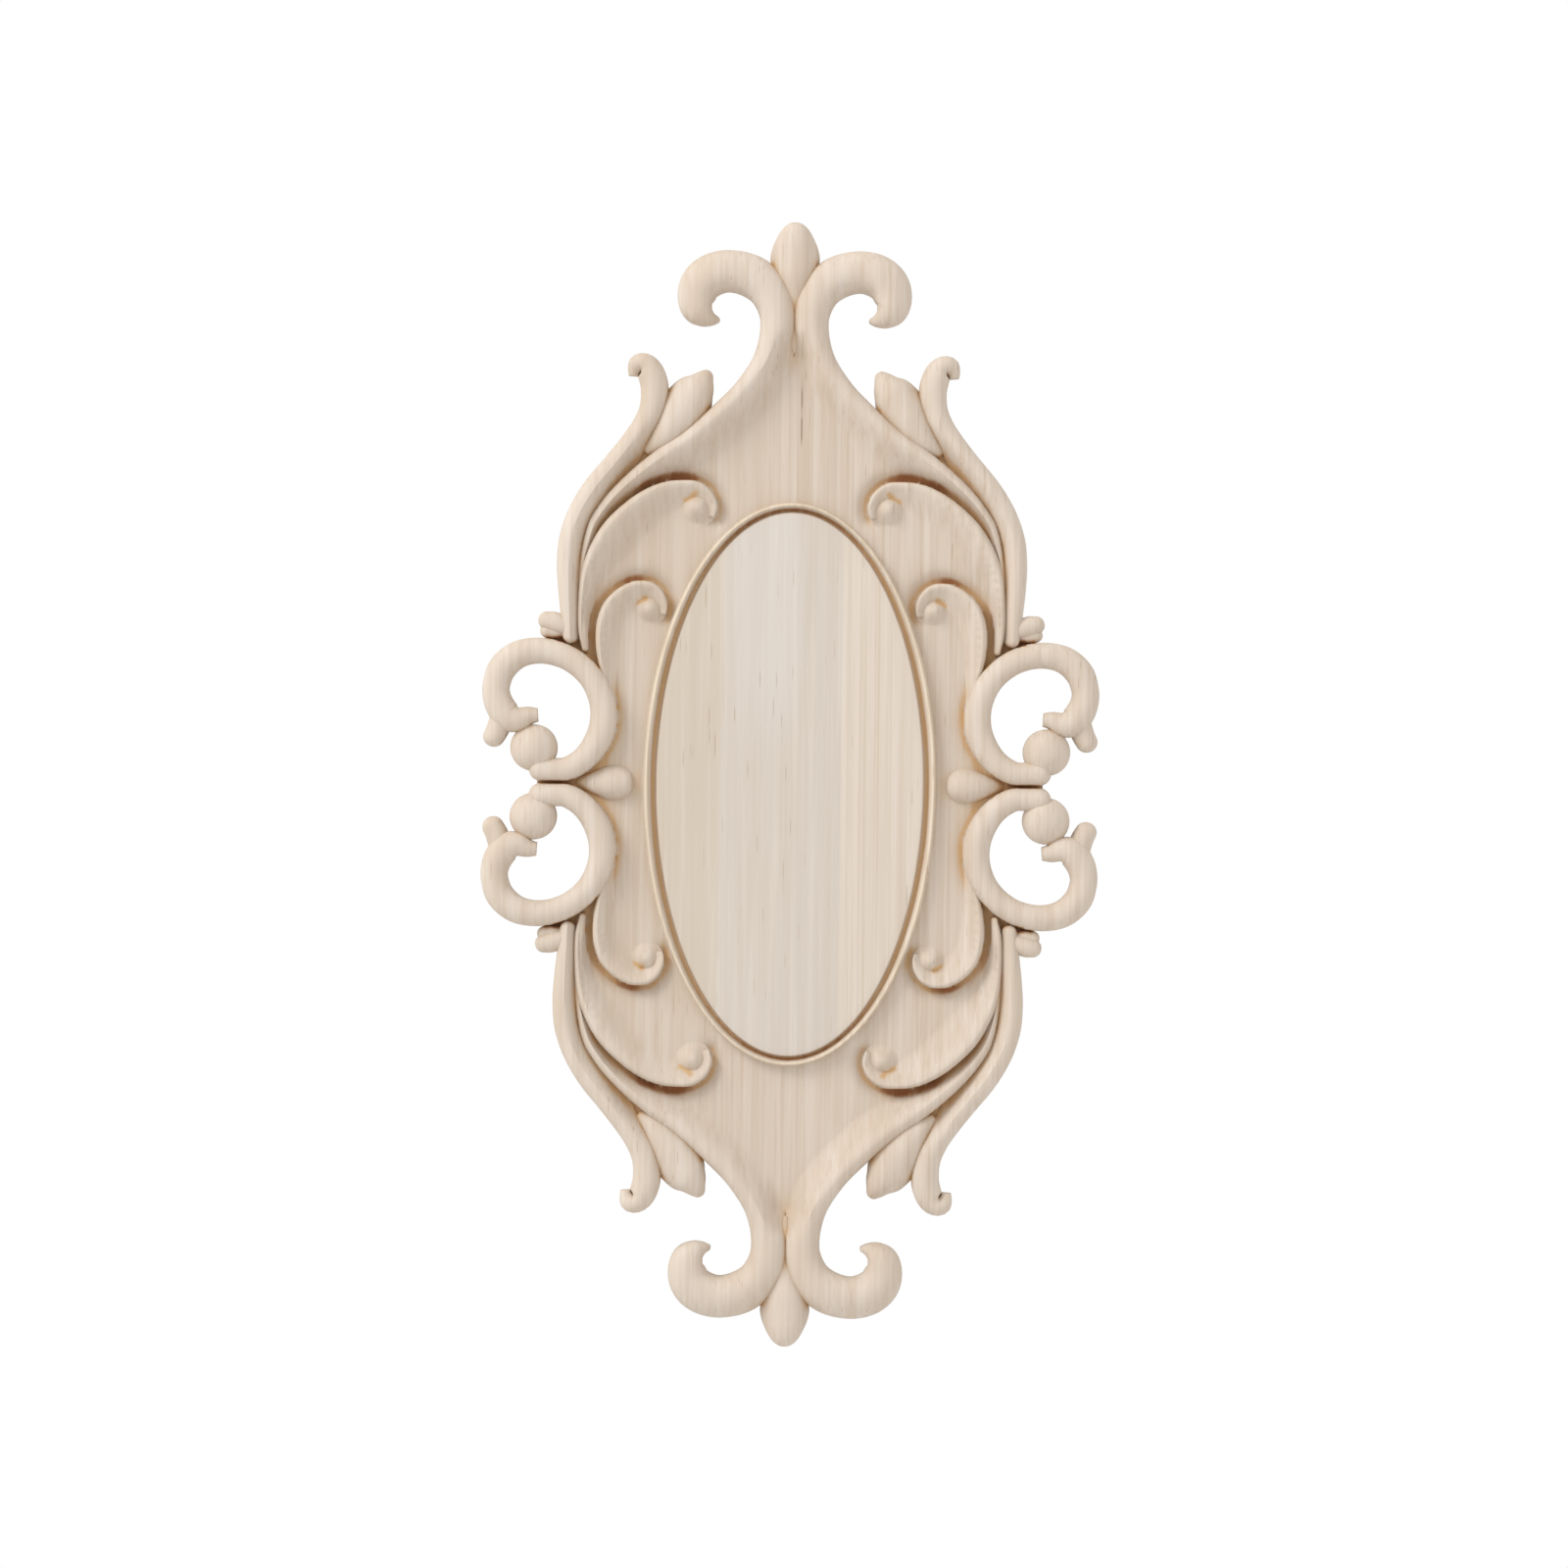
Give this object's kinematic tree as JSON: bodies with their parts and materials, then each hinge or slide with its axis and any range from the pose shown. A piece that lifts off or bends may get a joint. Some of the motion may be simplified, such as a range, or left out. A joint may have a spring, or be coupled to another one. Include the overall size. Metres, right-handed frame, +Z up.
{
  "type": "carved wooden onlay",
  "caption": "Pierced scroll-and-leaf carved wooden onlay around a plain grooved oval panel, with a flat back to glue or pin to a flat surface.",
  "frame": {"origin": "middle of the flat back, which is the face that is fixed to a door, wall or furniture front", "axes": "+Z up along the onlay's length, +X to the viewer's right across its width, +Y into the surface it is fixed to; the carving faces -Y"},
  "size_m": [0.2194, 0.015, 0.4],
  "materials": {
    "bare_wood": "unfinished pale hardwood, planed and carved, upright grain"
  },
  "bodies": {
    "root": {"carved_onlay": "bare_wood"}
  },
  "joints": []
}
